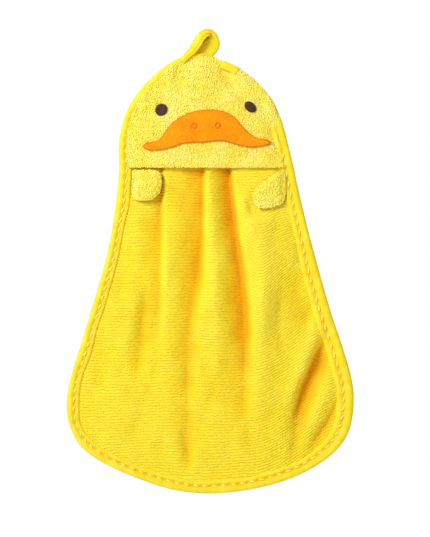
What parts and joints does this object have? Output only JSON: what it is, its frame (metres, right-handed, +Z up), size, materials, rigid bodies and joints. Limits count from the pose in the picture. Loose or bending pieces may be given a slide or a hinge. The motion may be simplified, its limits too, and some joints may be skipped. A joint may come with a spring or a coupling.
{
  "type": "hanging hand towel",
  "caption": "Animal-faced hanging hand towel: plush head with bill and eyes, bound ribbed body, side paws and a hanging loop.",
  "frame": {"origin": "inside top of the hanging loop, where a hook bears", "axes": "+Z up along the hanging towel, -Y out of its face, +X to the viewer's right"},
  "size_m": [0.2642, 0.0167, 0.4292],
  "materials": {
    "face_plush": "short fluffy pile",
    "ribbed_knit": "fine ribbed terry knit",
    "binding_tape": "smooth knitted tape, topstitched",
    "bill_felt": "brushed felt",
    "bill_thread": "satin-stitch embroidery",
    "eye_thread": "satin-stitch embroidery"
  },
  "bodies": {
    "loop": {"hanging_loop": "binding_tape"},
    "head": {"head_front_panel": "face_plush", "head_back_panel": "face_plush", "head_edge_binding": "binding_tape", "binding_end_tab": "binding_tape", "bill": "bill_felt", "bill_edge_stitching": "bill_thread", "nostril_left": "bill_thread", "nostril_right": "bill_thread", "eye_left": "eye_thread", "eye_right": "eye_thread"},
    "body": {"body_panel": "ribbed_knit", "body_edge_binding": "binding_tape"},
    "paw_left": {"paw_left_backing": "face_plush", "paw_left_front": "face_plush"},
    "paw_right": {"paw_right_backing": "face_plush", "paw_right_front": "face_plush"}
  },
  "joints": [
    {"name": "loop_bend", "type": "hinge", "parent": "loop", "child": "head", "pos_m": [0, 0, -0.0203], "axis": [1, 0, 0], "range_deg": [-50, 50]},
    {"name": "body_fold", "type": "hinge", "parent": "head", "child": "body", "pos_m": [0, 0, -0.1254], "axis": [1, 0, 0], "range_deg": [-80, 80]},
    {"name": "paw_left_flap", "type": "hinge", "parent": "body", "child": "paw_left", "pos_m": [-0.07, -0.0035, -0.145], "axis": [0, 0, -1], "range_deg": [0, 110]},
    {"name": "paw_right_flap", "type": "hinge", "parent": "body", "child": "paw_right", "pos_m": [0.073, -0.0035, -0.145], "axis": [0, 0, 1], "range_deg": [0, 110]}
  ]
}
